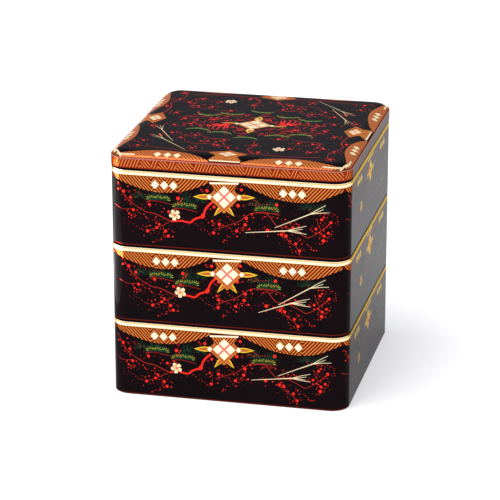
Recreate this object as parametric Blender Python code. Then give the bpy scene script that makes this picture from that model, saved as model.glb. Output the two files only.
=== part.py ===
# Tiered food box: open square tiers of lacquered resin that stack on lip joints, closed by a domed lid.
# The frame's origin is under the middle of the box, on the surface that it stands on. The front faces -Y.
from math import acos, cos, pi, radians, sin

import bmesh
import bpy

# Plan shared by every piece
BODY_WIDTH = 0.195
CORNER_RADIUS = 0.0145
CORNER_SEGMENTS = 10
LEAST_CORNER_RADIUS = 0.001

# Stack
TIER_NAMES = ("tier_bottom", "tier_middle", "tier_top")
TIER_HEIGHT = 0.0639
SEAT_GAP = 0.0003

# Lip joint: the lip round a tier's mouth stands up inside the foot ring of the piece above
FOOT_RING_WIDTH = 0.0024
LIP_CLEARANCE = 0.0004
LIP_THICKNESS = 0.0018
LIP_HEIGHT = 0.003
LIP_HEADROOM = 0.0006
LIP_ROUND = 0.0006

# Tier shell
FLOOR_THICKNESS = 0.003
FLOOR_FILLET = 0.003
FOOT_ROUND = 0.0007
RIM_ROUND = 0.0009

# Fine groove round the gilded rim
RIM_GROOVE_DROP = 0.0018
RIM_GROOVE_WIDTH = 0.0007
RIM_GROOVE_DEPTH = 0.0003

# Lid: a straight skirt, a rounded edge, a margin that falls away and a flat middle
LID_OVERHANG = 0.0003
LID_SKIRT_ABOVE_LIP = 0.0053
LID_FOOT_ROUND = 0.0008
LID_EDGE_ROUND = 0.002
LID_EDGE_SLOPE = radians(37)
LID_RISE = 0.0035
LID_THICKNESS = 0.0026

# Steps along the rounded stretches of a profile
SMALL_ROUND_STEPS = 2
FILLET_STEPS = 3
MARGIN_STEPS = 6
CEILING_STEPS = 3


def outline(inset):
    """Corner points of the rounded square that lies a distance inside the tier's outer wall."""
    half = BODY_WIDTH / 2 - inset
    radius = max(CORNER_RADIUS - inset, LEAST_CORNER_RADIUS)
    points = []
    for corner in range(4):
        middle = pi / 4 + corner * pi / 2
        centre_x = (half - radius) * (1 if cos(middle) > 0 else -1)
        centre_y = (half - radius) * (1 if sin(middle) > 0 else -1)
        for step in range(CORNER_SEGMENTS + 1):
            angle = corner * pi / 2 + step / CORNER_SEGMENTS * pi / 2
            points.append((centre_x + radius * cos(angle), centre_y + radius * sin(angle)))
    return points


def round_off(centre, radius, start, end, steps):
    """Profile points round an arc. Angle 0 points out of the box, a quarter turn points up."""
    inset, height = centre
    angles = [start + (end - start) * step / steps for step in range(steps + 1)]
    return [(inset - radius * cos(angle), height + radius * sin(angle)) for angle in angles]


def shell(name, profile, base, material):
    """Closed solid whose rings follow a profile of insets and heights, with a flat cap at each end."""
    bm = bmesh.new()
    rings = []
    for inset, height in profile:
        rings.append([bm.verts.new((x, y, base + height)) for x, y in outline(inset)])
    for ring, following in zip(rings, rings[1:]):
        for corner, start in enumerate(ring):
            bm.faces.new((ring[corner - 1], start, following[corner], following[corner - 1]))
    bm.faces.new(reversed(rings[0]))
    bm.faces.new(rings[-1])
    if bm.calc_volume(signed=True) < 0:
        bmesh.ops.reverse_faces(bm, faces=bm.faces)
    mesh = bpy.data.meshes.new(name)
    bm.to_mesh(mesh)
    bm.free()
    mesh.materials.append(material)
    mesh.shade_smooth()
    mesh.set_sharp_from_angle(angle=radians(35))
    piece = bpy.data.objects.new(name, mesh)
    bpy.context.scene.collection.objects.link(piece)
    return piece


def foot(overhang, rounding):
    """Profile of the foot ring, from its inner edge to the bottom of the outer wall."""
    arc = round_off((rounding - overhang, rounding), rounding, -pi / 2, 0, SMALL_ROUND_STEPS)
    return [(FOOT_RING_WIDTH, 0)] + arc


def rim():
    """Profile of the gilded rim: its groove, its rounded shoulder and the seat inside it."""
    groove_middle = TIER_HEIGHT - RIM_GROOVE_DROP
    groove = [
        (0, groove_middle - RIM_GROOVE_WIDTH / 2),
        (RIM_GROOVE_DEPTH, groove_middle),
        (0, groove_middle + RIM_GROOVE_WIDTH / 2),
    ]
    shoulder = round_off((RIM_ROUND, TIER_HEIGHT - RIM_ROUND), RIM_ROUND, 0, pi / 2, SMALL_ROUND_STEPS)
    return groove + shoulder


def lip():
    """Profile of the lip, from its foot on the seat over its rounded top to the inner wall."""
    outer = FOOT_RING_WIDTH + LIP_CLEARANCE
    inner = outer + LIP_THICKNESS
    top = TIER_HEIGHT + LIP_HEIGHT
    rounding = min(LIP_ROUND, LIP_THICKNESS * 0.45)
    return [
        (outer, TIER_HEIGHT),
        (outer, top - rounding),
        (outer + rounding, top),
        (inner - rounding, top),
        (inner, top - rounding),
    ]


def tier_profile():
    """Profile of a tier, from under its floor, round the outer wall and lip, to its inner floor."""
    recess = LIP_HEIGHT + LIP_HEADROOM
    wall = FOOT_RING_WIDTH + LIP_CLEARANCE + LIP_THICKNESS
    floor_top = recess + FLOOR_THICKNESS
    fillet_centre = (wall + FLOOR_FILLET, floor_top + FLOOR_FILLET)
    fillet = round_off(fillet_centre, FLOOR_FILLET, 0, -pi / 2, FILLET_STEPS)
    return [(FOOT_RING_WIDTH, recess)] + foot(0, FOOT_ROUND) + rim() + lip() + fillet


def lid_profile():
    """Profile of the lid, from the ceiling of its hollow, round its skirt and edge, to its flat middle."""
    skirt_top = LIP_HEIGHT + LID_SKIRT_ABOVE_LIP
    edge_end = pi / 2 - LID_EDGE_SLOPE
    edge_centre = (LID_EDGE_ROUND - LID_OVERHANG, skirt_top)
    edge = round_off(edge_centre, LID_EDGE_ROUND, 0, edge_end, FILLET_STEPS)
    margin_radius = LID_RISE / (1 - sin(edge_end))
    margin_start = edge[-1]
    margin_centre = (
        margin_start[0] + margin_radius * cos(edge_end),
        margin_start[1] - margin_radius * sin(edge_end),
    )
    margin = round_off(margin_centre, margin_radius, edge_end, pi / 2, MARGIN_STEPS)
    ceiling_radius = margin_radius - LID_THICKNESS
    ceiling_end = acos((margin_centre[0] - FOOT_RING_WIDTH) / ceiling_radius)
    ceiling = round_off(margin_centre, ceiling_radius, pi / 2, ceiling_end, CEILING_STEPS)
    return ceiling + foot(LID_OVERHANG, LID_FOOT_ROUND) + edge + margin[1:]


def lacquer(name, colour, roughness):
    """Glossy lacquer of one colour."""
    material = bpy.data.materials.new(name)
    material.use_nodes = True
    surface = material.node_tree.nodes["Principled BSDF"]
    surface.inputs["Base Color"].default_value = (*colour, 1)
    surface.inputs["Roughness"].default_value = roughness
    surface.inputs["Metallic"].default_value = 0
    return material


for leftover in list(bpy.data.objects):
    bpy.data.objects.remove(leftover)

tier_lacquer = lacquer("tier_lacquer", (0.014, 0.008, 0.010), 0.15)
lid_lacquer = lacquer("lid_lacquer", (0.020, 0.015, 0.017), 0.15)

stack_step = TIER_HEIGHT + SEAT_GAP
for place, tier_name in enumerate(TIER_NAMES):
    shell(tier_name, tier_profile(), place * stack_step, tier_lacquer)
shell("lid", lid_profile(), len(TIER_NAMES) * stack_step, lid_lacquer)
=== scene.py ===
from math import acos, asin, copysign, cos, hypot, pi, radians, sin
from random import Random

import bmesh
import bpy
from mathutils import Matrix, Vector
from mathutils.geometry import delaunay_2d_cdt


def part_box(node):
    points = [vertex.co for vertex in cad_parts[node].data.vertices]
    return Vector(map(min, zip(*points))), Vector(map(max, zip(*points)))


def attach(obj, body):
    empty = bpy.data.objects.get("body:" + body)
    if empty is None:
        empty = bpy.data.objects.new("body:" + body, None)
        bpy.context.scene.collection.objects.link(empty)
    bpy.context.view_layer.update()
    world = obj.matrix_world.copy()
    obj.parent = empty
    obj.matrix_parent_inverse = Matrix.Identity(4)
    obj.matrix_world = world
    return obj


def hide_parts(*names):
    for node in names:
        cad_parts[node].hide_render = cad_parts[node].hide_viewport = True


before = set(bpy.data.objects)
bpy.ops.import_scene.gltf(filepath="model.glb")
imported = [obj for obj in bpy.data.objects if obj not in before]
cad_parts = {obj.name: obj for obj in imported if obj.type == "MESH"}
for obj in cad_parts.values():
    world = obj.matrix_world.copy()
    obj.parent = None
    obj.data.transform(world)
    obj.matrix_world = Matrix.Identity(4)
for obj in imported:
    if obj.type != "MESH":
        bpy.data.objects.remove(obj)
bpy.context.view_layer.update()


# The tiers are square boxes moulded in resin, sprayed black outside and vermilion inside, each with a gilded
# rim, a foot ring and a lip that the next piece sits over. Four equal sides carry a garden, garlands and a
# crest in lacquers and metal powders, rubbed down level under one clear gloss coat.
MM = 0.001
CLEAR_COAT_SPECULAR = 0.012
GLANCING_COAT_SHINE = 0.175
GLANCING_MIRROR_SHINE = 0.41
GRAIN_SCALE = 1400
GRAIN_HEIGHT = 0.02
CLOUD_SCALE = 26

paint_box = {}


def paint(name, colour, metal, smoothest, dullest, bump=0.04, cloud=None, edge=None):
    """Mix one paint. Its grain moves its gloss between two roughness values, and a cloud shifts its colour.

    Without an edge colour of its own, a metallic paint shines as the bare lacquer does where it is seen at a
    flat angle, because there the clear coat over both hides them.
    """
    if edge is None:
        full = [part + (1 - part) * GLANCING_MIRROR_SHINE for part in colour]
        edge = [GLANCING_COAT_SHINE / part if metal else 1 for part in full]
    material = bpy.data.materials.new(name)
    material.use_nodes = True
    nodes = material.node_tree.nodes
    links = material.node_tree.links
    surface = nodes["Principled BSDF"]
    surface.inputs["Base Color"].default_value = (*colour, 1)
    surface.inputs["Metallic"].default_value = metal
    surface.inputs["Specular IOR Level"].default_value = CLEAR_COAT_SPECULAR
    surface.inputs["Specular Tint"].default_value = (*edge, 1)
    place = nodes.new("ShaderNodeTexCoord")
    grain = nodes.new("ShaderNodeTexNoise")
    grain.inputs["Scale"].default_value = GRAIN_SCALE
    grain.inputs["Detail"].default_value = 2
    links.new(place.outputs["Object"], grain.inputs["Vector"])
    gloss = nodes.new("ShaderNodeMapRange")
    gloss.inputs["To Min"].default_value = smoothest
    gloss.inputs["To Max"].default_value = dullest
    links.new(grain.outputs["Fac"], gloss.inputs["Value"])
    links.new(gloss.outputs["Result"], surface.inputs["Roughness"])
    relief = nodes.new("ShaderNodeBump")
    relief.inputs["Strength"].default_value = bump
    relief.inputs["Distance"].default_value = GRAIN_HEIGHT * MM
    links.new(grain.outputs["Fac"], relief.inputs["Height"])
    links.new(relief.outputs["Normal"], surface.inputs["Normal"])
    if cloud:
        drift = nodes.new("ShaderNodeTexNoise")
        drift.inputs["Scale"].default_value = CLOUD_SCALE
        drift.inputs["Detail"].default_value = 3
        links.new(place.outputs["Object"], drift.inputs["Vector"])
        blend = nodes.new("ShaderNodeMix")
        blend.data_type = "RGBA"
        blend.inputs["A"].default_value = (*colour, 1)
        blend.inputs["B"].default_value = (*cloud, 1)
        links.new(drift.outputs["Fac"], blend.inputs["Factor"])
        links.new(blend.outputs["Result"], surface.inputs["Base Color"])
    paint_box[name] = material


paint("black_lacquer", (0.0062, 0.0040, 0.0048), 0, 0.05, 0.09, 0.02, (0.0098, 0.0044, 0.0060))
paint("inner_vermilion", (0.40, 0.022, 0.012), 0, 0.08, 0.14, 0.03, (0.46, 0.030, 0.014))
paint("gilding", (1.0, 0.92, 0.71), 1, 0.16, 0.28, 0.10, (0.96, 0.82, 0.52), (0.54, 0.38, 0.05))
# The darker gold below is painted shade: it lies in the rim's groove and along the edges of the gilded band.
paint("rim_shade", (0.78, 0.45, 0.14), 1, 0.16, 0.28, 0.10, (0.86, 0.55, 0.2), (0.40, 0.27, 0.05))
paint("line_brown", (0.13, 0.012, 0.006), 0.9, 0.08, 0.14)
paint("garland_ground", (0.115, 0.006, 0.003), 0.95, 0.08, 0.16, 0.05, (0.17, 0.013, 0.005))
paint("garland_gold", (0.67, 0.220, 0.043), 0.95, 0.08, 0.16)
paint("border_bronze", (0.44, 0.10, 0.022), 0.95, 0.08, 0.16, 0.05, (0.52, 0.14, 0.035))
paint("cream_foil", (0.97, 0.90, 0.68), 0.95, 0.18, 0.30, 0.08, (0.90, 0.78, 0.50), (0.56, 0.38, 0.07))
paint("blossom_cream", (0.93, 0.76, 0.43), 0.95, 0.18, 0.30, 0.08, None, (0.50, 0.36, 0.10))
paint("pink_line", (0.76, 0.20, 0.17), 0.95, 0.18, 0.28, 0.04, None, (0.56, 0.38, 0.07))
paint("leaf_gold", (0.82, 0.53, 0.03), 0.9, 0.08, 0.16)
paint("vermilion", (0.84, 0.026, 0.016), 0.9, 0.07, 0.13)
paint("dim_vermilion", (0.30, 0.010, 0.010), 0.9, 0.07, 0.13)
paint("twig_red", (0.32, 0.020, 0.014), 0.9, 0.07, 0.13)
paint("pine_green", (0.009, 0.058, 0.026), 0.9, 0.14, 0.24)
paint("pine_tip", (0.42, 0.44, 0.04), 0.9, 0.16, 0.26)
paint("straw_gold", (0.90, 0.74, 0.45), 0.9, 0.08, 0.16)

# The pattern is laid out flat on a net, in millimetres, whose sides open outwards from the square of the
# four corner centres. The skin is cut there along its painted outlines and then folded up into place.
BODY_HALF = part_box("tier_top")[1][0] / MM
CORNER_RADIUS = 14.5
CORNER_STEPS = 16
CHORD_SAG = 0.2
SHARP_ANGLE = radians(35)
CUT_TOLERANCE = 1e-5
INSIDE_ONLY = 1
FLAT_HALF = BODY_HALF - CORNER_RADIUS
HALF_TURN_OF_SIDE = FLAT_HALF + CORNER_RADIUS * pi / 4


def on_net(side, along, out):
    """Net point of a place on one side: along it from its middle, and out from its corner centres."""
    turn = max(abs(along) - FLAT_HALF, 0) / CORNER_RADIUS
    x = copysign(min(abs(along), FLAT_HALF) + out * sin(turn), along)
    y = -FLAT_HALF - out * cos(turn)
    for _ in range(side):
        x, y = -y, x
    return x, y


def ring_of_net(out):
    """Net points of the line that runs round all four sides at one distance from the corner centres."""
    return [
        on_net(side, FLAT_HALF * end + CORNER_RADIUS * pi / 2 * max(end, 0) * step / CORNER_STEPS, out)
        for side in range(4)
        for end, steps in ((-1, 1), (1, CORNER_STEPS))
        for step in range(steps)
    ]


def core_of(x, y):
    """Nearest point of the square of the corner centres."""
    return max(-FLAT_HALF, min(FLAT_HALF, x)), max(-FLAT_HALF, min(FLAT_HALF, y))


def cut_skin(coats, ring_places, open_middle, fold):
    """Bmesh of a painted skin, cut along the edges of its painted shapes and folded up into place.

    coats holds (paint, outline, over) on the net. A later coat covers an earlier one, and one with a name in
    over counts only on top of that paint. fold turns a distance out from the corner centres into the
    distance that is left in plan, the height, the slope of the surface and the paint of the bare ground.
    """
    points = []
    edges = []
    for out in ring_places:
        first = len(points)
        points += ring_of_net(out)
        count = len(points) - first
        edges += [(first + step, first + (step + 1) % count) for step in range(count)]
    last = len(points) - count
    edges += [(step, last + step) for step in range(count)]
    outlines = []
    for _, outline, _ in coats:
        first = len(points)
        points += outline
        following = outline[1:] + outline[:1]
        turning = sum(x * next_y - next_x * y for (x, y), (next_x, next_y) in zip(outline, following))
        order = range(first, len(points))
        outlines.append(list(order) if turning > 0 else list(reversed(order)))
    vectors = [Vector(point) for point in points]
    places, _, triangles, _, _, sources = delaunay_2d_cdt(
        vectors, edges, outlines, INSIDE_ONLY, CUT_TOLERANCE, True
    )
    slots = list(paint_box)
    bm = bmesh.new()
    corners = []
    normals = []
    for x, y in places:
        core_x, core_y = core_of(x, y)
        out = hypot(x - core_x, y - core_y)
        reach, height, slope, _ = fold(out)
        away = Vector((x - core_x, y - core_y, 0)) / out if out else Vector((0, 0, 0))
        corners.append(bm.verts.new(Vector((core_x, core_y, height)) * MM + away * reach * MM))
        normals.append(away * cos(slope) + Vector((0, 0, sin(slope))))
    for triangle, covering in zip(triangles, sources):
        middle = sum((places[corner] for corner in triangle), Vector((0, 0))) / 3
        core_x, core_y = core_of(*middle)
        out = hypot(middle.x - core_x, middle.y - core_y)
        if open_middle and out < ring_places[0] - CHORD_SAG:
            continue
        under = {coats[index][0] for index in covering}
        shown = [index for index in covering if coats[index][2] is None or coats[index][2] in under]
        face = bm.faces.new([corners[corner] for corner in triangle])
        face.material_index = slots.index(coats[max(shown)][0] if shown else fold(out)[3])
        face.smooth = True
    return bm, normals


def draw_on(bm, edges, stops, paint_name):
    """Draw the shell on from a ring of edges, over (inset, height) stops. Returns its last ring of edges."""
    for inset, height in stops:
        made = bmesh.ops.extrude_edge_only(bm, edges=edges)["geom"]
        edges = [item for item in made if isinstance(item, bmesh.types.BMEdge)]
        edges = [edge for edge in edges if edge.is_boundary]
        for face in (item for item in made if isinstance(item, bmesh.types.BMFace)):
            face.material_index = list(paint_box).index(paint_name)
            face.smooth = True
        for corner in {corner for edge in edges for corner in edge.verts}:
            x, y = corner.co.x / MM, corner.co.y / MM
            core_x, core_y = core_of(x, y)
            away = Vector((x - core_x, y - core_y, 0)).normalized() * (CORNER_RADIUS - inset)
            corner.co = (Vector((core_x, core_y, height)) + away) * MM
    return edges


def close_up(bm, edges, paint_name):
    """Close the last ring of edges with one flat face."""
    cap = bmesh.ops.contextual_create(bm, geom=edges)["faces"][0]
    cap.material_index = list(paint_box).index(paint_name)


def round_off(centre, radius, start, end, steps):
    """(inset, height) stops round an arc. Angle 0 points out of the box, a quarter turn points up."""
    angles = [start + (end - start) * step / steps for step in range(1, steps + 1)]
    return [(centre[0] - radius * cos(angle), centre[1] + radius * sin(angle)) for angle in angles]


def finish_piece(bm, name, normals):
    """Turn the shell's faces outwards and make it an object whose skin shades as the true curve does."""
    bmesh.ops.recalc_face_normals(bm, faces=bm.faces)
    if bm.calc_volume(signed=True) < 0:
        bmesh.ops.reverse_faces(bm, faces=bm.faces)
    kept = [normal for corner, normal in zip(bm.verts, normals) if corner.link_faces]
    loose = [corner for corner in bm.verts if not corner.link_faces]
    bmesh.ops.delete(bm, geom=loose, context="VERTS")
    mesh = bpy.data.meshes.new(name)
    bm.to_mesh(mesh)
    bm.free()
    for material in paint_box.values():
        mesh.materials.append(material)
    mesh.set_sharp_from_angle(angle=SHARP_ANGLE)
    plain = [Vector((0, 0, 0))] * (len(mesh.vertices) - len(kept))
    mesh.normals_split_custom_set_from_vertices(kept + plain)
    piece = bpy.data.objects.new(name, mesh)
    bpy.context.scene.collection.objects.link(piece)
    return piece


# The painter's shapes lie on a flat sheet in millimetres: u runs along the side, and v down a wall or in
# from the edge of the lid. A motif is a list of coats, each a paint, an outline and the paint that it must
# lie on, if any.
def disc(u, v, radius, sides=8):
    """Round dot."""
    angles = [2 * pi * k / sides for k in range(sides)]
    return [(u + radius * cos(angle), v + radius * sin(angle)) for angle in angles]


def diamond(u, v, half_width, half_height):
    """Diamond on its point."""
    return [(u - half_width, v), (u, v - half_height), (u + half_width, v), (u, v + half_height)]


def smooth(points, steps=4):
    """Points along the smooth curve that passes through a few chosen ones."""
    padded = [points[0]] + list(points) + [points[-1]]
    curve = []
    for before, start, end, after in zip(padded, padded[1:], padded[2:], padded[3:]):
        for step in range(steps):
            t = step / steps
            curve.append(tuple(
                0.5 * (2 * b + (c - a) * t + (2 * a - 5 * b + 4 * c - d) * t * t
                       + (3 * b - a - 3 * c + d) * t ** 3)
                for a, b, c, d in zip(before, start, end, after)
            ))
    return curve + [tuple(points[-1])]


def brush(points, start_width, end_width):
    """Outline of a stroke along some points whose width changes evenly."""
    left = []
    right = []
    for place, (u, v) in enumerate(points):
        ahead = points[min(place + 1, len(points) - 1)]
        behind = points[max(place - 1, 0)]
        length = hypot(ahead[0] - behind[0], ahead[1] - behind[1])
        half = (start_width + (end_width - start_width) * place / (len(points) - 1)) / 2
        across = ((behind[1] - ahead[1]) / length * half, (ahead[0] - behind[0]) / length * half)
        left.append((u + across[0], v + across[1]))
        right.append((u - across[0], v - across[1]))
    return left + right[::-1]


def bent(outline):
    """Outline with a point wherever it crosses one of the upright lines that the corners are rounded on."""
    step = CORNER_RADIUS * pi / 2 / CORNER_STEPS
    lines = [copysign(FLAT_HALF + k * step, sign) for k in range(CORNER_STEPS // 2 + 2) for sign in (-1, 1)]
    points = []
    for (u0, v0), (u1, v1) in zip(outline, outline[1:] + outline[:1]):
        shares = sorted((line - u0) / (u1 - u0) for line in lines if (line - u0) * (line - u1) < 0)
        points += [(u0 + (u1 - u0) * share, v0 + (v1 - v0) * share) for share in [0] + shares]
    return points


def laid(motif, put):
    """Motif laid on the net through the function that says where its points go."""
    return [(name, [put(u, v) for u, v in bent(outline)], over) for name, outline, over in motif]


def moved(motif, du, dv):
    """Motif shifted on its sheet."""
    return [(name, [(u + du, v + dv) for u, v in outline], over) for name, outline, over in motif]


def skewed(motif, rise):
    """Motif whose right side is pushed up and whose left side is pushed down."""
    return [(name, [(u, v - rise * u) for u, v in outline], over) for name, outline, over in motif]


def mirrored(points, lean):
    """Points kept as they are for a lean of 1, and mirrored about the middle for -1."""
    return [(lean * u, v) for u, v in points]


HATCH_STEP = 0.4
HATCH_STEPS = 50
HATCH_LEAD = 24


def hatch(start, end, top, lean, pitch, width, depth_at, over):
    """One fan of gold hatching between two places. Its lines lean by so much for a millimetre of depth."""
    motif = []
    u = start - abs(lean) * HATCH_LEAD
    while u < end + abs(lean) * HATCH_LEAD:
        run = [(u + lean * HATCH_STEP * step, top + HATCH_STEP * step) for step in range(HATCH_STEPS)]
        run = [(line_u, v) for line_u, v in run if start <= line_u <= end and v < depth_at(line_u)]
        if len(run) > 2:
            (u0, v0), (u1, v1) = run[0], run[-1]
            half = width / 2
            line = [(u0 - half, v0), (u0 + half, v0), (u1 + half, v1), (u1 - half, v1)]
            motif.append(("garland_gold", line, over))
        u += pitch
    return motif


HATCH_SHARE = 0.40
HEM_PLAY = 0.3


def garland(hem, top, diamond_places, diamond_v, half_width, half_height):
    """Hanging garland under a rim: dark ground, gold hatching in leaning fans, and three cream diamonds."""
    curve = smooth(hem)

    def hem_depth(u):
        for (start_u, start_v), (end_u, end_v) in zip(curve, curve[1:]):
            if start_u <= u <= end_u:
                return start_v + (end_v - start_v) * (u - start_u) / (end_u - start_u) + HEM_PLAY
        return 0

    motif = [("garland_ground", [(curve[0][0], top)] + curve + [(curve[-1][0], top)], None)]
    marks = [diamond_places[0] - half_width] + list(diamond_places) + [diamond_places[-1] + half_width]
    fans = [(curve[0][0] + 0.6, marks[0], 0.9, 2.7), (marks[-1], curve[-1][0] - 0.6, -0.9, 2.9)]
    fans += [(a, b, -0.8 if k % 2 == 0 else 0.8, 2.6) for k, (a, b) in enumerate(zip(marks, marks[1:]))]
    for fan_start, fan_end, lean, pitch in fans:
        width = pitch * HATCH_SHARE
        motif += hatch(fan_start, fan_end, top - HEM_PLAY, lean, pitch, width, hem_depth, "garland_ground")
    motif += [("cream_foil", diamond(u, diamond_v, half_width, half_height), None) for u in diamond_places]
    return motif


def wall_crest():
    """Crest under the middle of a rim: bar, hatched neck, leaves, and four cream squares in a border."""
    motif = []
    for lean in (-1, 1):
        leaf = [(12.4, -1.8), (16.0, -2.2), (19.5, -1.7), (25.2, 0), (19.5, 1.7), (16.0, 2.2), (12.4, 1.8)]
        motif.append(("leaf_gold", mirrored(leaf, lean), None))
        vein = [(12.4, -1.0), (16.0, -1.3), (19.3, -0.9), (22.6, 0), (19.3, 0.9), (16.0, 1.3), (12.4, 1.0)]
        motif.append(("border_bronze", mirrored(vein, lean), None))
        low_leaf = [(4.2, 8.0), (6.0, 10.6), (8.3, 15.8), (3.4, 12.6), (0.7, 10.8)]
        motif.append(("leaf_gold", mirrored(low_leaf, lean), None))
        low_vein = [(3.0, 8.4), (4.9, 10.8), (7.0, 14.2), (3.2, 12.1), (0.7, 10.6)]
        motif.append(("border_bronze", mirrored(low_vein, lean), None))
    motif.append(("border_bronze", [(-1.5, 11.0), (1.5, 11.0), (1.2, 13.2), (-1.2, 13.2)], None))
    neck = [(-11.4, -10.8), (11.4, -10.8), (7.9, -5.4), (4.4, -1.8), (-4.4, -1.8), (-7.9, -5.4)]
    motif.append(("garland_ground", neck, None))
    motif += hatch(-11.4, -0.2, -10.8, 0.8, 2.6, 1.25, lambda u: 0, "garland_ground")
    motif += hatch(0.2, 11.4, -10.8, -0.8, 2.6, 1.25, lambda u: 0, "garland_ground")
    rhomb = [(-13.0, 0), (-7.9, -5.4), (0, -12.4), (7.9, -5.4), (13.0, 0), (0, 12.5)]
    border = rhomb[:2] + [(-4.4, -2.0), (0, 2), (4.4, -2.0)] + rhomb[3:]
    motif.append(("border_bronze", border, None))
    for line in ((rhomb[0], rhomb[5]), (rhomb[4], rhomb[5]), (rhomb[0], rhomb[1]), (rhomb[4], rhomb[3])):
        motif.append(("garland_gold", brush(list(line), 0.35, 0.35), None))
    motif.append(("cream_foil", [(-11.9, -12.1), (11.9, -12.1), (11.5, -10.6), (-11.5, -10.6)], None))
    motif.append(("cream_foil", diamond(0, 0, 9.3, 9.2), None))
    for lean in (-1, 1):
        stripe = [(-5.3, -4.0), (-4.0, -5.2), (5.3, 4.0), (4.0, 5.2)]
        motif.append(("pink_line", mirrored(stripe, lean), None))
        motif.append(("cream_foil", diamond(lean * 11.9, 0, 2.1, 2.4), None))
    return motif


def sprig(u, v, half_width, height, chance):
    """Pine sprig: a thin arched twig under a dome of dark needles with three fans of yellow-green tips."""
    arch = [(u - half_width, v - 0.6), (u - half_width * 0.2, v - 1.8), (u + half_width * 1.1, v + 0.4)]
    twig = smooth(arch, 3)
    motif = [("twig_red", brush(twig, 0.5, 0.4), None)]
    needles = 23
    for k in range(needles):
        share = -1 + 2 * (k + 0.5) / needles
        foot_u = u + share * half_width * 0.80
        foot_v = v - 2.0 - 0.8 * (1 - share * share)
        lean = share * 0.95 + chance.uniform(-0.12, 0.12)
        reach = height * (1.05 - 0.35 * share * share) * chance.uniform(0.75, 1.0)
        tip = (foot_u + sin(lean) * reach, foot_v - cos(lean) * reach)
        motif.append(("pine_green", brush([(foot_u, foot_v), tip], 0.50, 0.26), None))
    for middle in (-0.60, 0.0, 0.60):
        heart = (u + middle * half_width, v - 2.2 - 1.0 * (1 - middle * middle))
        for k in range(5):
            lean = middle * 0.8 + (k - 2) * 0.52 + chance.uniform(-0.08, 0.08)
            near, far = height * 0.30, height * chance.uniform(0.56, 0.72)
            run = (sin(lean), -0.9 * cos(lean))
            ends = [(heart[0] + run[0] * reach, heart[1] + run[1] * reach) for reach in (near, far)]
            motif.append(("pine_tip", brush(ends, 0.30, 0.48), None))
    return motif


def far_pine(u, v, chance):
    """Faint tuft of long pine needles, far back in the garden."""
    motif = []
    needles = 11
    for k in range(needles):
        lean = -1.5 + 3.0 * k / (needles - 1) + chance.uniform(-0.1, 0.1)
        near, far = chance.uniform(1.0, 2.2), chance.uniform(5.0, 8.5)
        ends = [(u + sin(lean) * reach, v - cos(lean) * reach) for reach in (near, far)]
        motif.append(("pine_green", brush(ends, 0.36, 0.20), None))
    return motif


def blossom(u, v, radius, turn):
    """Plum flower: five round cream petals with clear gaps between them and red stamens from the middle."""
    motif = [("blossom_cream", disc(u, v, radius * 0.46), None)]
    for petal in range(5):
        angle = turn + petal * 2 * pi / 5
        middle = (u + radius * 0.62 * sin(angle), v - radius * 0.62 * cos(angle))
        motif.append(("blossom_cream", disc(*middle, radius * 0.38, 10), None))
    for petal in range(5):
        angle = turn + (petal + 0.5) * 2 * pi / 5
        gap = [(u + radius * share * sin(angle), v - radius * share * cos(angle)) for share in (0.40, 1.0)]
        motif.append(("black_lacquer", brush(gap, 0.2, 1.7), None))
        reach = radius * (0.66 if petal % 2 == 0 else 0.5)
        angle = turn + (petal + 0.1) * 2 * pi / 5
        stamen = [(u, v), (u + reach * sin(angle), v - reach * cos(angle))]
        motif.append(("vermilion", brush(stamen, 0.7, 0.55), None))
    return motif


def straw(root, fork, tips):
    """Dry straw that is split at its end into a few fine strands."""
    motif = [("straw_gold", brush([root, fork], 0.35, 0.80), None)]
    for k, tip in enumerate(tips):
        bend = (fork[0] * 0.5 + tip[0] * 0.5, fork[1] * 0.5 + tip[1] * 0.5 + 0.35 * (1 if k % 2 else -1))
        motif.append(("straw_gold", brush(smooth([fork, bend, tip], 2), 0.55, 0.32), None))
    return motif


def bough(points, start_width, end_width, paint_name="twig_red"):
    """Branch that thins towards its end."""
    return [(paint_name, brush(smooth(points, 3), start_width, end_width), None)]


BUD_GAP = 0.4
SMALL_BUD = 0.8


def bud(motif, taken, u, v, radius, shade):
    """Add one round bud, unless it would touch another one."""
    if all(hypot(u - near_u, v - near_v) > radius + near + BUD_GAP for near_u, near_v, near in taken):
        taken.append((u, v, radius))
        motif.append((shade, disc(u, v, radius, 6 if radius < SMALL_BUD else 10), None))


def plum_buds(places, largest, count, spread, chance, taken):
    """Clusters of plum buds: a full round one at each place, with smaller ones thrown round it."""
    motif = []
    for u, v in places:
        bud(motif, taken, u, v, largest * chance.uniform(0.75, 1.0), "vermilion")
    for u, v in places:
        for _ in range(count):
            away = chance.uniform(largest * 1.6, spread)
            angle = chance.uniform(0, 2 * pi)
            radius = largest * chance.choice((0.25, 0.28, 0.32, 0.38, 0.45, 0.58))
            shade = "dim_vermilion" if chance.random() < 0.45 else "vermilion"
            bud(motif, taken, u + away * cos(angle), v + away * sin(angle) * 0.85, radius, shade)
    return motif


def trail(points, chance, taken):
    """Row of small buds that follows an unseen twig."""
    motif = []
    for u, v in smooth(points, 5):
        shade = "dim_vermilion" if chance.random() < 0.5 else "vermilion"
        place = (u + chance.uniform(-0.9, 0.9), v + chance.uniform(-0.9, 0.9))
        bud(motif, taken, *place, chance.uniform(0.35, 0.6), shade)
    return motif


FAR_PINE_V = 23.5
TREE_MIDDLE = -8.0
SPECKS = 150
GARLAND_DROP = 5.3
CREST_PLACE = (-2.4, 17.8)
CREST_RISE = 0.05


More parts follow.
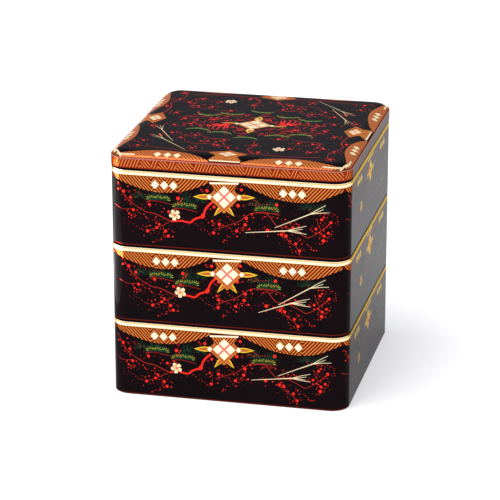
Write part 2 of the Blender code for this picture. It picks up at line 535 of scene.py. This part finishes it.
def branches(slip):
    """Plum trunk with its twigs on the left, and the thinner bough with its twigs on the right."""
    left_twigs = [
        ([(-93.0, 30.5), (-84.9, 33.5), (-76.2, 32.5)], 0.45, 0.4),
        ([(-45.7, 41.1), (-58.9, 35.6), (-66.8, 34.2), (-80.8, 25.2), (-89.2, 12.2)], 0.9, 0.35),
        ([(-47.3, 42.0), (-54.4, 45.7), (-65.5, 50.5)], 0.6, 0.4),
    ]
    right_twigs = [
        ([(-8.2, 44.7), (1.1, 40.8), (9.6, 37.0), (18.5, 30.2), (24.7, 28.9), (41.6, 28.5)], 0.55, 0.6),
        ([(29.3, 28.2), (33.1, 29.9), (38.5, 36.7), (41.6, 38.8), (52.4, 40.4), (64.7, 46.6)], 0.7, 0.6),
        ([(64.7, 46.6), (69.2, 44.7), (75.3, 40.3), (79.9, 36.0), (83.6, 32.5)], 0.6, 0.45),
        ([(45.1, 42.5), (47.8, 47.9), (50.9, 51.6), (55.5, 54.5), (58.6, 58.2)], 0.6, 0.35),
        ([(20.0, 17.5), (25.0, 20.5), (27.5, 22.5)], 0.5, 0.4),
        ([(72.3, 30.1), (73.5, 36.0), (76.0, 40.0)], 0.45, 0.35),
        ([(74.0, 41.5), (78.0, 44.0), (81.0, 45.0)], 0.45, 0.35),
    ]
    motif = []
    for group, twigs in (("trunk", left_twigs), ("bough", right_twigs)):
        for points, start_width, end_width in twigs:
            motif += moved(bough(points, start_width, end_width), *slip(group))
    trunk = [(-11.0, 22.0), (-14.6, 25.2), (-17.6, 29.2), (-19.4, 34.4), (-21.6, 35.8), (-26.4, 37.8),
             (-30.4, 41.0), (-37.1, 40.0), (-45.7, 41.0)]
    motif += moved(bough(trunk, 1.8, 1.4, "vermilion"), *slip("trunk"))
    knot = [(-20.6, 33.0), (-18.4, 32.2), (-17.8, 35.2), (-19.8, 37.0), (-22.0, 36.4)]
    motif += moved([("vermilion", knot, None)], *slip("trunk"))
    return motif


def tree_buds(chance, slip):
    """All buds of the plum: round large ones, small ones round them, rows along twigs, and dim specks."""
    large_buds = [
        (-84.6, 18.7), (-78.8, 23.4), (-76.6, 33.7), (-63.2, 28.3), (-55.5, 44.2), (-57.5, 47.1),
        (-65.1, 50.5), (-50.3, 49.6), (-47.5, 33.2), (-39.8, 21.5), (-16.2, 13.5), (-10.5, 26.5),
        (-6.3, 40.6), (-11.0, 48.1), (7.7, 45.1), (11.6, 10.7), (8.9, 24.0), (15.5, 34.0), (40.0, 21.1),
        (14.6, 39.5), (32.6, 42.7), (53.1, 38.8), (43.9, 45.4), (47.5, 46.3), (55.5, 52.1), (58.6, 57.8),
        (71.5, 38.7), (76.0, 30.7), (83.4, 32.6), (81.4, 41.4), (78.0, 44.0), (-78.0, 36.0),
        (-57.0, 42.0), (-48.0, 53.5), (77.5, 48.0),
    ]
    taken = []
    buds = plum_buds(large_buds, 1.5, 8, 6.5, chance, taken)
    trails = [
        [(-90.0, 12.0), (-84.0, 21.0), (-77.0, 27.0)], [(-78.0, 45.0), (-72.0, 48.0), (-66.0, 50.0)],
        [(-60.0, 59.0), (-54.0, 57.0), (-50.0, 52.0)], [(-72.0, 35.0), (-66.0, 39.0), (-60.0, 40.5)],
        [(-26.0, 42.0), (-18.0, 47.0), (-9.0, 47.0)], [(-17.0, 38.0), (-12.0, 41.0), (-7.0, 45.0)],
        [(-3.0, 55.0), (2.0, 50.0), (6.0, 47.0)], [(28.0, 33.0), (35.0, 31.5), (48.0, 33.5)],
        [(50.0, 50.0), (51.0, 56.0), (53.0, 60.0)], [(62.0, 50.0), (66.0, 54.0), (72.0, 57.0)],
        [(84.0, 24.0), (88.0, 28.0), (90.0, 33.0)], [(-60.0, 22.0), (-68.0, 20.0), (-76.0, 18.0)],
        [(-47.0, 35.0), (-42.0, 32.0), (-36.0, 34.0)], [(0.0, 34.0), (6.0, 38.0), (12.0, 44.0)],
        [(18.0, 22.0), (26.0, 22.0), (34.0, 21.0)], [(66.0, 24.0), (74.0, 26.0), (82.0, 27.0)],
    ]
    for points in trails:
        buds += trail(points, chance, taken)
    for _ in range(SPECKS):
        speck = (chance.uniform(-88, 88), chance.triangular(12, 56, 36))
        bud(buds, taken, *speck, chance.uniform(0.26, 0.38), "dim_vermilion")
    motif = []
    for coat in buds:
        first_u = coat[1][0][0]
        motif += moved([coat], *slip("trunk" if first_u < TREE_MIDDLE else "bough"))
    return motif


def dry_straws(slip):
    """The two split straws on the right. Each end has its own slip."""
    motif = []
    for kind, root, tips in (
        ("long", (38.5, 40.2), [(66.5, 26.9), (79.3, 18.7), (77.4, 22.2), (82.0, 24.6)]),
        ("low", (14.6, 46.0), [(48.5, 41.9), (63.8, 37.0), (60.8, 39.6), (60.2, 42.6), (64.1, 43.6)]),
    ):
        du, dv = slip(kind + "_root")
        root = (root[0] + du, root[1] + dv)
        du, dv = slip(kind + "_tips")
        tips = [(u + du, v + dv) for u, v in tips]
        motif += straw(root, tips[0], tips[1:])
    return motif


def rim_garlands(slip):
    """The two garlands that hang under a rim, on both sides of the crest."""
    left_hem = [(-HALF_TURN_OF_SIDE + 0.5, 7.6), (-84.5, 10.9), (-69.6, 15.6), (-54.0, 17.7), (-36.8, 15.6),
                (-24.3, 11.5), (-13.5, 6.4)]
    right_hem = [(12.0, 5.9), (21.6, 10.2), (38.5, 16.1), (56.9, 18.1), (72.1, 16.3), (84.5, 10.9),
                 (HALF_TURN_OF_SIDE - 0.5, 7.6)]
    motif = []
    for hem, places in ((left_hem, (-58.6, -51.0, -43.5)), (right_hem, (45.1, 52.6, 60.1))):
        places = [u + slip("diamonds")[0] for u in places]
        motif += garland(hem, GARLAND_DROP, places, diamond_v=11.4, half_width=3.3, half_height=3.6)
    return motif


def painted_wall(side, chance, slips):
    """Coats of one side of a tier. The slips say how far each group of motifs is off its place on it."""

    def slip(group):
        return slips.get(group, (0, 0))

    def put(u, v):
        return on_net(side, u, CORNER_RADIUS + v)

    motif = []
    for u in (-71, -60, -34, -22, 23, 36, 64, 75):
        motif += far_pine(u, FAR_PINE_V, chance)
    motif += branches(slip)
    for u, v in ((-56.0, 26.6), (-34.6, 31.4), (32.0, 29.5)):
        motif += moved(sprig(u, v, half_width=9.8, height=6.2, chance=chance), *slip("pine"))
    motif += tree_buds(chance, slip)
    motif += moved(blossom(-42.6, 35.6, radius=4.7, turn=-0.5), *slip("blossom"))
    motif += dry_straws(slip)
    motif += rim_garlands(slip)
    du, dv = slip("crest")
    motif += moved(skewed(wall_crest(), CREST_RISE), du + CREST_PLACE[0], dv + CREST_PLACE[1])
    return laid(motif, put)


SEAT_BELOW_LIP = 3.0
WALL_TOP_DROP = 2.15
# Above this drop the rim's face and rounded shoulder are black: painted shade in the joint under the piece
# above.
GILDED_FROM_DROP = 1.1
GILDED_DROP = 4.8
# The two widths below are of darker gold strips along the band's lower edge and under the rim groove:
# painted shade.
BAND_EDGE = 0.4
GROOVE_SHADE = 0.4
RED_LINE_DROP = 5.6
# The next height is of a brown strip just above the foot's rounding: a painted reflection of the gilded rim
# below.
FOOT_REFLECTION_LINE = 0.7
FOOT_ROUND = 0.7
FOOT_STEPS = 3
FOOT_RING_WIDTH = 2.4
UNDERSIDE_RECESS = 3.6
LIP_OUTER_INSET = 2.8
LIP_INNER_INSET = 4.6
LIP_ROUND = 0.6
LIP_STEPS = 3
RIM_GROOVE_DEPTH = 0.3
RIM_GROOVE_HALF = 0.35
RIM_ROUND = 0.9
RIM_STEPS = 4
FLOOR_THICKNESS = 3.0
FLOOR_FILLET = 3.0
FLOOR_STEPS = 5


def seat_and_lip(shoulder):
    """Stops from the gilded rim over its rounded shoulder, in to the seat and up over the lip."""
    lip_top = shoulder + SEAT_BELOW_LIP
    outer_centre = (LIP_OUTER_INSET + LIP_ROUND, lip_top - LIP_ROUND)
    inner_centre = (LIP_INNER_INSET - LIP_ROUND, lip_top - LIP_ROUND)
    stops = [(0, shoulder - RIM_ROUND)]
    stops += round_off((RIM_ROUND, shoulder - RIM_ROUND), RIM_ROUND, 0, pi / 2, RIM_STEPS)
    stops += [(LIP_OUTER_INSET, shoulder), (LIP_OUTER_INSET, lip_top - LIP_ROUND)]
    stops += round_off(outer_centre, LIP_ROUND, 0, pi / 2, LIP_STEPS)
    stops += [(LIP_INNER_INSET - LIP_ROUND, lip_top)]
    stops += round_off(inner_centre, -LIP_ROUND, -pi / 2, 0, LIP_STEPS)
    return stops


def inner_wall(base):
    """Stops down the inner wall and round the fillet to the floor."""
    fillet_top = base + UNDERSIDE_RECESS + FLOOR_THICKNESS + FLOOR_FILLET
    fillet_centre = (LIP_INNER_INSET + FLOOR_FILLET, fillet_top)
    fillet = round_off(fillet_centre, FLOOR_FILLET, 0, -pi / 2, FLOOR_STEPS)
    return [(LIP_INNER_INSET, fillet_top)] + fillet


def build_tier(node, chance, slips):
    """One tier, from its painted wall round its rim, lip, inside, foot ring and underside."""
    low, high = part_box(node)
    base, shoulder = low[2] / MM, high[2] / MM - SEAT_BELOW_LIP
    wall_foot_drop = shoulder - base - FOOT_ROUND
    foot_reflection_drop = wall_foot_drop - FOOT_REFLECTION_LINE

    def fold(out):
        drop = out - CORNER_RADIUS
        # Darker gold under the groove and along the band's lower edge is painted shade.
        on_band = WALL_TOP_DROP + GROOVE_SHADE <= drop < GILDED_DROP - BAND_EDGE
        ground = "gilding" if on_band else "rim_shade"
        if drop >= RED_LINE_DROP:
            ground = "black_lacquer"
        # Brown under the gilded band is a painted line; brown just above the foot's rounding is a painted
        # reflection of the gilded rim below.
        if GILDED_DROP <= drop < RED_LINE_DROP or drop > foot_reflection_drop:
            ground = "line_brown"
        return CORNER_RADIUS, shoulder - drop, 0, ground

    coats = []
    for side in range(4):
        coats += painted_wall(side, chance, slips)
    drops = [WALL_TOP_DROP, WALL_TOP_DROP + GROOVE_SHADE, GILDED_DROP - BAND_EDGE, GILDED_DROP]
    drops += [RED_LINE_DROP, foot_reflection_drop, wall_foot_drop]
    bm, normals = cut_skin(coats, [CORNER_RADIUS + drop for drop in drops], open_middle=True, fold=fold)
    middle_height = (base + shoulder) / 2 * MM
    borders = [edge for edge in bm.edges if edge.is_boundary]
    upper = [edge for edge in borders if edge.verts[0].co.z > middle_height]
    lower = [edge for edge in borders if edge.verts[0].co.z < middle_height]
    groove_middle = shoulder - WALL_TOP_DROP + RIM_GROOVE_HALF
    groove = [(RIM_GROOVE_DEPTH, groove_middle), (0, groove_middle + RIM_GROOVE_HALF)]
    # The groove's faces are darker gold, as painted shade.
    upper = draw_on(bm, upper, groove, "rim_shade")
    upper = draw_on(bm, upper, [(0, shoulder - GILDED_FROM_DROP)], "gilding")
    # The rim's face above the gilding and its rounded shoulder go black: painted shade in the joint under
    # the piece above.
    upper = draw_on(bm, upper, seat_and_lip(shoulder), "black_lacquer")
    close_up(bm, draw_on(bm, upper, inner_wall(base), "inner_vermilion"), "inner_vermilion")
    foot = round_off((FOOT_ROUND, base + FOOT_ROUND), FOOT_ROUND, 0, -pi / 2, FOOT_STEPS)
    foot += [(FOOT_RING_WIDTH, base), (FOOT_RING_WIDTH, base + UNDERSIDE_RECESS)]
    close_up(bm, draw_on(bm, lower, foot, "black_lacquer"), "black_lacquer")
    return finish_piece(bm, node + "_painted", normals)


TIER_SEED = 11
TIER_SLIPS = {
    "tier_top": {},
    "tier_middle": {
        "trunk": (3.4, -1.4), "bough": (-0.8, -0.5), "pine": (1.8, 0.6), "blossom": (4.0, 0.7),
        "long_root": (3.1, 0.2), "long_tips": (0.4, -2.4), "low_root": (10.8, 2.3), "low_tips": (3.4, -3.6),
        "crest": (2.3, 0.2), "diamonds": (0.4, 0),
    },
    "tier_bottom": {
        "trunk": (-2.6, 1.0), "bough": (-1.2, -0.6), "pine": (-2.2, 0.8), "blossom": (0.1, 2.2),
        "long_root": (2.9, -3.0), "long_tips": (3.0, -2.4), "low_root": (5.1, -3.4), "low_tips": (4.2, -3.7),
        "crest": (-0.4, 0.6), "diamonds": (-2.0, 0),
    },
}
for node, slips in TIER_SLIPS.items():
    tier = build_tier(node, Random(TIER_SEED), slips)
    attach(tier, "root")
    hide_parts(node)


# The lid is a low domed cover, moulded and sprayed as the tiers are, whose hollow sits over the top tier's
# lip. Its skirt is hatched in gold on red bronze, garlands and crests edge its sloping margin, and its flat
# middle carries a winged crest in a garden that looks the same when it is turned half round.
LID_OVERHANG = 0.3
LID_RISE = 3.5
LID_EDGE_SLOPE = radians(37)
LID_EDGE_ROUND = 2.0
LID_SKIRT_TOP = 8.3
LID_FOOT_ROUND = 0.8
LID_HOLLOW_STEPS = 5
LID_THICKNESS = 2.6
LID_MARGIN_STEPS = 7
LID_EDGE_STEPS = 4
paint("skirt_bronze", (0.20, 0.014, 0.006), 0.95, 0.08, 0.16, 0.05, (0.28, 0.026, 0.010))
paint("pine_leaf", (0.050, 0.16, 0.040), 0, 0.14, 0.24)
paint("lid_pine_tip", (0.36, 0.44, 0.06), 0, 0.14, 0.24)
# From here on, lighter copies of the tiers' paints for the lid: the extra lightness is painted light on its
# top and margin.
paint("lid_ground", (0.46, 0.085, 0.032), 0.5, 0.16, 0.26, 0.05, (0.54, 0.11, 0.04), (1.0, 0.65, 0.6))
paint("lid_gold", (0.84, 0.30, 0.07), 0.5, 0.18, 0.30, 0.04, None, (1.0, 0.7, 0.5))
paint("lid_bronze", (0.58, 0.14, 0.03), 0.4, 0.15, 0.25, 0.05, (0.66, 0.18, 0.045), (1.0, 0.6, 0.4))
paint("lid_cream", (0.99, 0.86, 0.54), 0.1, 0.18, 0.30, 0.08, None, (1.0, 0.85, 0.6))
paint("lid_pink", (0.80, 0.26, 0.18), 0, 0.18, 0.28)
paint("lid_red", (0.96, 0.028, 0.020), 0, 0.14, 0.24)
paint("lid_dim_red", (0.44, 0.012, 0.014), 0, 0.14, 0.24)
paint("lid_yellow", (0.94, 0.62, 0.07), 0.1, 0.18, 0.30)
paint("lid_straw", (0.94, 0.72, 0.36), 0.1, 0.18, 0.30)
# The pink of the lid's edge is a painted highlight along the outer half of its rounding.
paint("edge_pink", (0.56, 0.21, 0.15), 0.3, 0.14, 0.22, 0.04, None, (0.3, 0.2, 0.2))

lid_low, lid_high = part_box("lid")
lid_base, lid_top = lid_low[2] / MM, lid_high[2] / MM
margin_radius = LID_RISE / (1 - cos(LID_EDGE_SLOPE))
edge_end = pi / 2 - LID_EDGE_SLOPE
edge_core = CORNER_RADIUS + LID_OVERHANG - LID_EDGE_ROUND
margin_out = edge_core + LID_EDGE_ROUND * cos(edge_end)
plateau_out = margin_out - margin_radius * sin(LID_EDGE_SLOPE)
skirt_out = margin_out + LID_EDGE_ROUND * edge_end
skirt_foot_out = skirt_out + LID_SKIRT_TOP - LID_FOOT_ROUND


def fold_lid(out):
    """Place, height, slope and bare ground of the lid's skin at one distance out on the net."""
    if out <= plateau_out:
        return out, lid_top, pi / 2, "black_lacquer"
    if out <= margin_out:
        tilt = asin((out - plateau_out) / margin_radius)
        return out, lid_top - margin_radius * (1 - cos(tilt)), pi / 2 - tilt, "black_lacquer"
    if out <= skirt_out:
        angle = edge_end - (out - margin_out) / LID_EDGE_ROUND
        height = lid_base + LID_SKIRT_TOP + LID_EDGE_ROUND * sin(angle)
        # The inner half of the edge's rounding is a dark red line, and the outer half is pink as a painted
        # highlight.
        ground = "line_brown" if out < (margin_out + skirt_out) / 2 else "edge_pink"
        return edge_core + LID_EDGE_ROUND * cos(angle), height, angle, ground
    return CORNER_RADIUS + LID_OVERHANG, lid_base + LID_SKIRT_TOP + skirt_out - out, 0, "skirt_bronze"


def in_lid_lit_paints(motif):
    """Motif in the lid's warmer, lighter copies of the paints; their extra lightness is painted light for
    the lid's brighter top.
    """
    lit_copies = {
        "garland_ground": "lid_ground", "garland_gold": "lid_gold", "border_bronze": "lid_bronze",
        "cream_foil": "lid_cream", "blossom_cream": "lid_cream", "pink_line": "lid_pink",
        "leaf_gold": "lid_yellow", "straw_gold": "lid_straw", "vermilion": "lid_red",
        "dim_vermilion": "lid_dim_red", "twig_red": "lid_dim_red",
    }
    return [(lit_copies.get(name, name), outline, lit_copies.get(over, over)) for name, outline, over in motif]


def turned_half_round(motif):
    """Motif in plan, turned half round about the middle of the lid."""
    return [(name, [(-x, -y) for x, y in outline], over) for name, outline, over in motif]


def lid_crest():
    """Flat crest on the lid's margin: bar, hatched neck, pointed shoulders and four cream squares."""
    motif = []
    shield = [(-13.8, -11.2), (-8.4, -5.0), (-15.6, 1.4), (-8.0, 4.9), (0, 8.6), (8.0, 4.9), (15.6, 1.4),
              (8.4, -5.0), (13.8, -11.2)]
    motif.append(("border_bronze", shield, None))
    motif += hatch(-13.0, -0.6, -11.0, 0.9, 2.2, 0.9, lambda u: -2.5, "border_bronze")
    motif += hatch(0.6, 13.0, -11.0, -0.9, 2.2, 0.9, lambda u: -2.5, "border_bronze")
    for lean in (-1, 1):
        edge = mirrored([(15.4, 1.4), (8.0, 4.8), (0, 8.5)], lean)
        motif.append(("garland_gold", brush(edge, 0.7, 0.7), None))
    motif.append(("cream_foil", [(-12.4, -11.9), (12.4, -11.9), (12.2, -10.8), (-12.2, -10.8)], None))
    motif.append(("cream_foil", diamond(0, 0, 7.7, 5.4), None))
    for lean in (-1, 1):
        stripe = [(-4.3, -2.2), (-3.4, -2.9), (4.3, 2.2), (3.4, 2.9)]
        motif.append(("pink_line", mirrored(stripe, lean), None))
    return motif


SKIRT_HATCH_DROP = 6.9
LID_GARLAND_DEPTH = 0.45
LID_CREST_PLACE = (-2.5, 13.3)


def lid_side(side):
    """Coats of one side of the lid: hatched skirt, garlands and crest."""

    def put(t, depth):
        return on_net(side, t, CORNER_RADIUS - depth)

    def put_skirt(t, drop):
        return on_net(side, t, skirt_out + drop)

    marks = [-94.0, -70.5, -61.8, -55.7, -47.7, -41.0, -26.9, -9.4]
    marks += [1.2, 14.4, 28.4, 36.5, 43.1, 51.2, 57.8, 94.0]
    skirt = []
    for k, (start, end) in enumerate(zip(marks, marks[1:])):
        steep = k % 2 == (0 if k < 8 else 1)
        lean, pitch, width = (-0.42, 2.5, 0.78) if steep else (0.85, 2.8, 0.9)
        skirt += hatch(start + 0.2, end - 0.2, 0.3, lean, pitch, width, lambda t: SKIRT_HATCH_DROP, None)
    hem = [(-HALF_TURN_OF_SIDE + 0.6, 2.6), (-88.3, 3.8), (-77.0, 6.6), (-66.0, 9.6), (-55.0, 11.3),
           (-39.0, 10.1), (-26.4, 6.0), (-15.5, 1.2)]
    far_hem = [(-t - 5.0 * (t > -30), depth) for t, depth in reversed(hem)]
    margin = []
    for edge, places in ((hem, (-57.4, -49.3, -41.5)), (far_hem, (40.5, 48.5, 56.4))):
        margin += garland(edge, LID_GARLAND_DEPTH, places, diamond_v=4.7, half_width=3.3, half_height=2.9)
    margin += moved(lid_crest(), *LID_CREST_PLACE)
    for lean in (-1, 1):
        margin.append(("cream_foil", brush(mirrored([(75.5, 2.9), (92.5, 2.3)], lean), 1.2, 1.2), None))
    return laid(skirt, put_skirt) + laid(in_lid_lit_paints(margin), put)


FLAME_STROKES = 130
FLAME_RING = (38, 25)
CREST_REACH = 17


def flame_strokes(chance):
    """Short curved red strokes that whirl round the middle crest, over the half of the lid behind it."""
    motif = []
    for _ in range(FLAME_STROKES):
        angle = chance.uniform(0, pi)
        share = chance.uniform(0.50, 1.40)
        x, y = FLAME_RING[0] * share * cos(angle), FLAME_RING[1] * share * sin(angle)
        if abs(x) < CREST_REACH and y < CREST_REACH - abs(x) * 0.9:
            continue
        heading = angle + pi / 2 + chance.uniform(-0.6, 0.6)
        reach = chance.uniform(1.2, 3.2)
        across = chance.uniform(-0.8, 0.8)
        bend = (x - across * sin(heading), y + across * cos(heading))
        ends = [(x - reach * cos(heading), y - reach * sin(heading)), bend,
                (x + reach * cos(heading), y + reach * sin(heading))]
        shade = "dim_vermilion" if chance.random() < 0.4 else "vermilion"
        motif.append((shade, brush(smooth(ends, 2), 0.7, 0.35), None))
    return motif


def flat_sprig(x, y, chance):
    """Pine sprig of the lid: a green crescent that is flecked with yellow-green needle tips."""
    motif = []
    for lean in (-1, 1):
        wing = smooth([(x, y - 2.4), (x + lean * 5.0, y - 1.2), (x + lean * 10.5, y + 2.4)], 4)
        motif.append(("pine_green", brush(wing, 4.4, 0.8), None))
        motif.append(("pine_leaf", brush(wing, 3.2, 0.8), None))
    tips = 11
    for k in range(tips):
        share = -1 + 2 * (k + 0.5) / tips
        foot = (x + share * 8.6, y - 2.2 + 3.4 * share * share)
        tip = (foot[0] + share * 1.1, foot[1] - chance.uniform(0.9, 1.8))
        motif.append(("lid_pine_tip", brush([foot, tip], 0.8, 0.6), None))
    return motif


def flame():
    """Large flame at the tip of a wing of the middle crest: a stem that ends in six tongues."""
    motif = bough([(13.0, -1.6), (19.0, 0.0), (24.5, 4.0), (27.5, 10.0)], 2.2, 4.2, "vermilion")
    for tip in ((19.5, 15.5), (22.0, 18.6), (27.0, 20.4), (31.6, 18.0), (35.0, 13.2), (34.0, 7.6)):
        start = (24.0 + (tip[0] - 27) * 0.12, 5.0)
        bend = (start[0] + (tip[0] - start[0]) * 0.80, start[1] + (tip[1] - start[1]) * 0.34)
        motif.append(("vermilion", brush(smooth([start, bend, tip], 3), 2.6, 0.5), None))
    return motif


def lid_half(chance):
    """Coats of half of the lid's flat middle. The other half is the same, turned half round."""
    coats = []
    for points, width in (
        ([(-17.5, 78.6), (-10.0, 68.9), (-12.7, 59.5), (-10.0, 44.8)], 1.3),
        ([(-81.4, 17.0), (-79.5, 36.0), (-83.0, 48.0), (-77.7, 60.0), (-75.0, 72.0), (-78.2, 84.0)], 0.9),
        ([(-70.0, 77.0), (-45.0, 81.0), (0.0, 79.0), (36.0, 82.0), (72.0, 77.0)], 0.8),
        ([(-66.0, 42.0), (-58.0, 38.5), (-46.0, 38.0), (-38.0, 34.0)], 0.8),
        ([(12.0, 66.0), (22.0, 60.0), (36.0, 62.0), (45.0, 56.0)], 0.8),
        ([(16.0, 44.0), (26.0, 46.0), (34.0, 40.0), (46.0, 41.0), (55.0, 36.0)], 0.9),
        ([(-62.0, 14.0), (-52.0, 12.0), (-42.0, 14.5), (-34.0, 11.0)], 0.8),
        ([(34.0, 6.0), (44.0, 9.0), (56.0, 8.0)], 0.7),
    ):
        coats += bough(points, width, width * 0.6)
    coats += flame_strokes(chance)
    taken = [(0, 0, 15)]
    places = [
        (-79, 80), (-68, 54), (-84, 38), (-71, 21), (-50, 20), (-28, 36), (-42, 60), (-20, 74), (6, 68),
        (26, 53), (40, 39), (77, 62), (68, 44), (81, 20), (60, 36), (78, 76), (34, 74), (-60, 66),
        (-58, 44), (-46, 44), (-14, 56), (16, 62), (50, 48), (64, 14), (52, 8), (-36, 8), (-60, 6),
        (-78, 60), (14, 48),
    ]
    coats += plum_buds(places, 1.7, 12, 8.5, chance, taken)
    for x, y in ((-43.5, 21.6), (-25.5, 28.0), (-1.5, 38.5), (22.0, 28.4), (42.0, 22.3)):
        coats += flat_sprig(x, y, chance)
    coats += blossom(-34.2, 63.0, 5.2, 0.3)
    for root, fork, tips in (
        ((38.2, 79.8), (62.6, 54.5), ((74.2, 44.3), (69.5, 41.2), (73.6, 48.4))),
        ((53.5, 58.9), (70.0, 30.4), ((78.6, 20.0), (72.2, 17.5), (75.0, 18.5))),
    ):
        coats += straw(root, fork, tips)
    coats += flame()
    return coats


def winged_crest():
    """Crest in the middle of the lid: four cream squares in a gold border, with leaves and wings."""
    motif = []
    for lean in (-1, 1):
        wing = [(13, -1.6), (19, -2.2), (24, -1.6), (28, 0.2), (22, 1.2), (13, 1.4)]
        motif.append(("border_bronze", [(lean * x, lean * y) for x, y in wing], None))
        feather = smooth([(13, -1.5), (20, -2.0), (27, -0.2)], 3)
        motif.append(("leaf_gold", brush([(lean * x, lean * y) for x, y in feather], 1.1, 0.6), None))
        leaf = [(-2.8, 13), (2.8, 13), (3.4, 18), (0.2, 24.3), (-3.2, 18.6)]
        motif.append(("leaf_gold", [(x, lean * y) for x, y in leaf], None))
        vein = [(-1.8, 14), (1.8, 14), (1.9, 18), (0, 22)]
        motif.append(("border_bronze", [(x, lean * y) for x, y in vein], None))
    motif.append(("border_bronze", diamond(0, 0, 15.8, 15.0), None))
    motif.append(("garland_gold", diamond(0, 0, 14.6, 13.8), None))
    motif.append(("cream_foil", diamond(0, 0, 12.6, 12.0), None))
    for lean in (-1, 1):
        stripe = [(-6.9, -5.1), (-5.5, -6.5), (6.9, 5.1), (5.5, 6.5)]
        motif.append(("pink_line", mirrored(stripe, lean), None))
    for x, y in ((-14.6, 0), (14.6, 0), (0, -14.0), (0, 14.0)):
        motif.append(("cream_foil", diamond(x, y, 2.4, 2.4), None))
    return motif


def corner_bars():
    """Cream bars that cross the ends of the others at the two front corners, in plan."""
    lines = (((-95.2, -83.5), (-86.2, -97.0)), ((94.6, -83.5), (90.0, -95.8)))
    return [("cream_foil", brush(list(line), 1.3, 1.3), None) for line in lines]


LID_SEED = 5
half = lid_half(Random(LID_SEED))
coats = in_lid_lit_paints(half + turned_half_round(half) + winged_crest())
for side in range(4):
    coats += lid_side(side)
coats += in_lid_lit_paints(corner_bars() + turned_half_round(corner_bars()))
margin_step = (margin_out - plateau_out) / LID_MARGIN_STEPS
edge_step = (skirt_out - margin_out) / LID_EDGE_STEPS
rings = [plateau_out + margin_step * step for step in range(LID_MARGIN_STEPS)]
rings += [margin_out + edge_step * step for step in range(LID_EDGE_STEPS)]
rings += [skirt_out, skirt_foot_out]
bm, normals = cut_skin(coats, rings, open_middle=False, fold=fold_lid)
border = [edge for edge in bm.edges if edge.is_boundary]
foot_centre = (LID_FOOT_ROUND - LID_OVERHANG, lid_base + LID_FOOT_ROUND)
foot = round_off(foot_centre, LID_FOOT_ROUND, 0, -pi / 2, FOOT_STEPS) + [(FOOT_RING_WIDTH, lid_base)]
border = draw_on(bm, border, foot, "black_lacquer")
hollow_centre = (CORNER_RADIUS - plateau_out, lid_top - margin_radius)
hollow_radius = margin_radius - LID_THICKNESS
hollow_start = acos((hollow_centre[0] - FOOT_RING_WIDTH) / hollow_radius)
hollow = [(FOOT_RING_WIDTH, hollow_centre[1] + hollow_radius * sin(hollow_start))]
hollow += round_off(hollow_centre, hollow_radius, hollow_start, pi / 2, LID_HOLLOW_STEPS)
close_up(bm, draw_on(bm, border, hollow, "inner_vermilion"), "inner_vermilion")
lid = finish_piece(bm, "lid_painted", normals)
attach(lid, "root")
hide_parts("lid")


# The table is white and glows a little, and stands under one large soft box high on the left. A small light
# panel lies on it left of the food box, out of the picture. The camera stands at the photograph's angle.
TABLE_HALF = 15
TABLE_GLOW = 0.42
table_paint = bpy.data.materials.new("pale_table")
table_paint.use_nodes = True
table_surface = table_paint.node_tree.nodes["Principled BSDF"]
table_surface.inputs["Base Color"].default_value = (0.91, 0.91, 0.91, 1)
table_surface.inputs["Roughness"].default_value = 0.9
table_surface.inputs["Specular IOR Level"].default_value = 0
table_surface.inputs["Emission Color"].default_value = (1, 1, 1, 1)
table_surface.inputs["Emission Strength"].default_value = TABLE_GLOW
bm = bmesh.new()
bmesh.ops.create_grid(bm, x_segments=1, y_segments=1, size=TABLE_HALF)
table_mesh = bpy.data.meshes.new("table")
bm.to_mesh(table_mesh)
bm.free()
table_mesh.materials.append(table_paint)
table = bpy.data.objects.new("table", table_mesh)
bpy.context.scene.collection.objects.link(table)


def light_panel(name, width, depth, power, place, turn):
    """Flat soft light in its place."""
    panel = bpy.data.lights.new(name, "AREA")
    panel.shape = "RECTANGLE"
    panel.size = width
    panel.size_y = depth
    panel.energy = power
    stand = bpy.data.objects.new(name, panel)
    stand.location = place
    stand.rotation_euler = turn
    bpy.context.scene.collection.objects.link(stand)
    return stand


SOFT_BOX_PLACE = Vector((-1.5, -1.5, 4.2))
SOFT_BOX_TURN = (-SOFT_BOX_PLACE).to_track_quat("-Z", "Y").to_euler()
LOW_PANEL_PLACE = (-0.50, -0.12, 0.002)
FACING_UP = (pi, 0, 0)
light_panel("soft_box", width=3.6, depth=3.6, power=145, place=SOFT_BOX_PLACE, turn=SOFT_BOX_TURN)
low_panel = light_panel("low_panel", width=0.42, depth=0.5, power=5.0, place=LOW_PANEL_PLACE, turn=FACING_UP)
low_panel.visible_camera = False
studio = bpy.data.worlds.new("studio")
studio.use_nodes = True
studio.node_tree.nodes["Background"].inputs["Color"].default_value = (0.48, 0.49, 0.53, 1)
bpy.context.scene.world = studio
bpy.context.scene.view_settings.view_transform = "Standard"

CAMERA_PLACE = Vector((0.4291, -1.9037, 0.7813))
CAMERA_TURN = 0.2235
CAMERA_DIP = 0.3371
FOCAL_PIXELS = 2482.7
IMAGE_PIXELS = 500
SENSOR_WIDTH = 36
FARTHEST_SEEN = 60
ahead = Vector((-sin(CAMERA_TURN) * cos(CAMERA_DIP), cos(CAMERA_TURN) * cos(CAMERA_DIP), -sin(CAMERA_DIP)))
lens = bpy.data.cameras.new("camera")
lens.sensor_width = SENSOR_WIDTH
lens.lens = FOCAL_PIXELS / IMAGE_PIXELS * SENSOR_WIDTH
lens.clip_end = FARTHEST_SEEN
camera = bpy.data.objects.new("camera", lens)
camera.location = CAMERA_PLACE
camera.rotation_euler = ahead.to_track_quat("-Z", "Y").to_euler()
bpy.context.scene.collection.objects.link(camera)
bpy.context.scene.camera = camera

bpy.context.view_layer.update()
